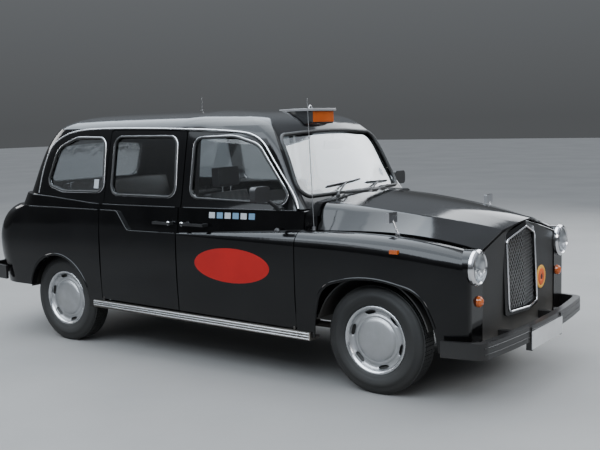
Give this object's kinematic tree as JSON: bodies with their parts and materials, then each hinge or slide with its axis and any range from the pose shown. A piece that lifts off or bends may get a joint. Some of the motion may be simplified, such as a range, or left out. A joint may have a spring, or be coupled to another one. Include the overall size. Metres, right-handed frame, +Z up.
{
  "type": "taxi cab",
  "caption": "Upright black taxi saloon with four doors, pontoon wings, peaked chrome grille, roof sign and a hollow, seated cabin",
  "frame": {"origin": "on the ground under the middle of the cab's length and width", "axes": "X forward to the grille, Y to the cab's left, Z up"},
  "size_m": [4.5701, 1.936, 1.878],
  "materials": {
    "gloss_paint": "gloss black coachwork paint",
    "satin_black": "satin black",
    "black_plastic": "moulded black",
    "bumper_black": "satin black mouldings",
    "chrome": "polished",
    "mesh_metal": "open diamond mesh",
    "aluminium_trim": "ribbed",
    "wheel_silver": "silver",
    "tyre": "worn rubber",
    "clear_glass": "clear",
    "amber_lens": "amber",
    "red_lens": "red and amber",
    "plate_white": "blank reflective",
    "plate_yellow": "blank reflective",
    "seat_vinyl": "dark vinyl",
    "cast_metal": "oily cast metal"
  },
  "bodies": {
    "cab": {"chassis_frame": "satin_black", "floor_pan": "satin_black", "cowl": "gloss_paint", "windscreen_frame": "gloss_paint", "roof": "gloss_paint", "rear_panel": "gloss_paint", "rear_quarter_left": "gloss_paint", "rear_quarter_right": "gloss_paint", "door_posts": "satin_black", "front_wing_left": "gloss_paint", "front_wing_right": "gloss_paint", "inner_panels": "satin_black", "grille_surround": "gloss_paint", "grille_mesh": "mesh_metal", "engine": "cast_metal", "headlamp_bezels": "chrome", "headlamp_lenses": "clear_glass", "amber_lenses": "amber_lens", "rear_lamps": "red_lens", "front_bumper": "bumper_black", "rear_bumper": "bumper_black", "front_plate": "plate_white", "fixed_glass": "clear_glass", "roof_sign": "black_plastic", "aerials": "black_plastic", "wing_mirrors": "chrome", "sill_trims": "aluminium_trim", "dashboard": "black_plastic", "driver_seat": "seat_vinyl", "rear_bench": "seat_vinyl", "partition": "satin_black", "front_axle": "cast_metal", "rear_axle": "cast_metal"},
    "bonnet": {"bonnet": "gloss_paint"},
    "boot": {"boot_lid": "gloss_paint", "rear_plate": "plate_yellow"},
    "steering_wheel": {"steering_wheel": "black_plastic"},
    "front_door_left": {"door_front_left": "gloss_paint", "door_front_glass_left": "clear_glass", "door_front_fittings_left": "black_plastic"},
    "rear_door_left": {"door_rear_left": "gloss_paint", "door_rear_glass_left": "clear_glass", "door_rear_handle_left": "black_plastic"},
    "steering_left": {"knuckle_left": "cast_metal"},
    "roadwheel_front_left": {"wheel_front_left": "wheel_silver", "tyre_front_left": "tyre"},
    "roadwheel_rear_left": {"wheel_rear_left": "wheel_silver", "tyre_rear_left": "tyre"},
    "front_door_right": {"door_front_right": "gloss_paint", "door_front_glass_right": "clear_glass", "door_front_fittings_right": "black_plastic"},
    "rear_door_right": {"door_rear_right": "gloss_paint", "door_rear_glass_right": "clear_glass", "door_rear_handle_right": "black_plastic"},
    "steering_right": {"knuckle_right": "cast_metal"},
    "roadwheel_front_right": {"wheel_front_right": "wheel_silver", "tyre_front_right": "tyre"},
    "roadwheel_rear_right": {"wheel_rear_right": "wheel_silver", "tyre_rear_right": "tyre"}
  },
  "joints": [
    {"name": "front_door_left_hinge", "type": "hinge", "parent": "cab", "child": "front_door_left", "pos_m": [0.948, 0.859, 0.37], "axis": [0, 0, -1], "range_deg": [0, 70]},
    {"name": "front_door_right_hinge", "type": "hinge", "parent": "cab", "child": "front_door_right", "pos_m": [0.948, -0.859, 0.37], "axis": [0, 0, 1], "range_deg": [0, 70]},
    {"name": "rear_door_left_hinge", "type": "hinge", "parent": "cab", "child": "rear_door_left", "pos_m": [-0.801, 0.859, 0.39], "axis": [0, 0, 1], "range_deg": [0, 70]},
    {"name": "rear_door_right_hinge", "type": "hinge", "parent": "cab", "child": "rear_door_right", "pos_m": [-0.801, -0.859, 0.39], "axis": [0, 0, -1], "range_deg": [0, 70]},
    {"name": "bonnet_hinge", "type": "hinge", "parent": "cab", "child": "bonnet", "pos_m": [1.04, 0, 1.1805], "axis": [0, -1, 0], "range_deg": [0, 50]},
    {"name": "boot_hinge", "type": "hinge", "parent": "cab", "child": "boot", "pos_m": [-2.02, 0, 1.05], "axis": [0, 1, 0], "range_deg": [0, 75]},
    {"name": "steer_left", "type": "hinge", "parent": "cab", "child": "steering_left", "pos_m": [1.495, 0.61, 0.337], "axis": [0, 0, 1], "range_deg": [-45, 45]},
    {"name": "steer_right", "type": "hinge", "parent": "cab", "child": "steering_right", "pos_m": [1.495, -0.61, 0.337], "axis": [0, 0, 1], "range_deg": [-45, 45]},
    {"name": "steering_wheel_turn", "type": "hinge", "parent": "cab", "child": "steering_wheel", "pos_m": [0.64, -0.38, 1.0055], "axis": [-0.8583, 0, 0.5132], "range_deg": [-630, 630]},
    {"name": "front_wheel_left_spin", "type": "hinge", "parent": "steering_left", "child": "roadwheel_front_left", "pos_m": [1.495, 0.711, 0.337], "axis": [0, 1, 0], "continuous": true},
    {"name": "rear_wheel_left_spin", "type": "hinge", "parent": "cab", "child": "roadwheel_rear_left", "pos_m": [-1.315, 0.711, 0.337], "axis": [0, 1, 0], "continuous": true},
    {"name": "front_wheel_right_spin", "type": "hinge", "parent": "steering_right", "child": "roadwheel_front_right", "pos_m": [1.495, -0.711, 0.337], "axis": [0, 1, 0], "continuous": true},
    {"name": "rear_wheel_right_spin", "type": "hinge", "parent": "cab", "child": "roadwheel_rear_right", "pos_m": [-1.315, -0.711, 0.337], "axis": [0, 1, 0], "continuous": true}
  ],
  "couplings": [
    {"joint": "steer_right", "follows": "steer_left", "ratio": 1},
    {"joint": "steering_wheel_turn", "follows": "steer_left", "ratio": 14}
  ]
}
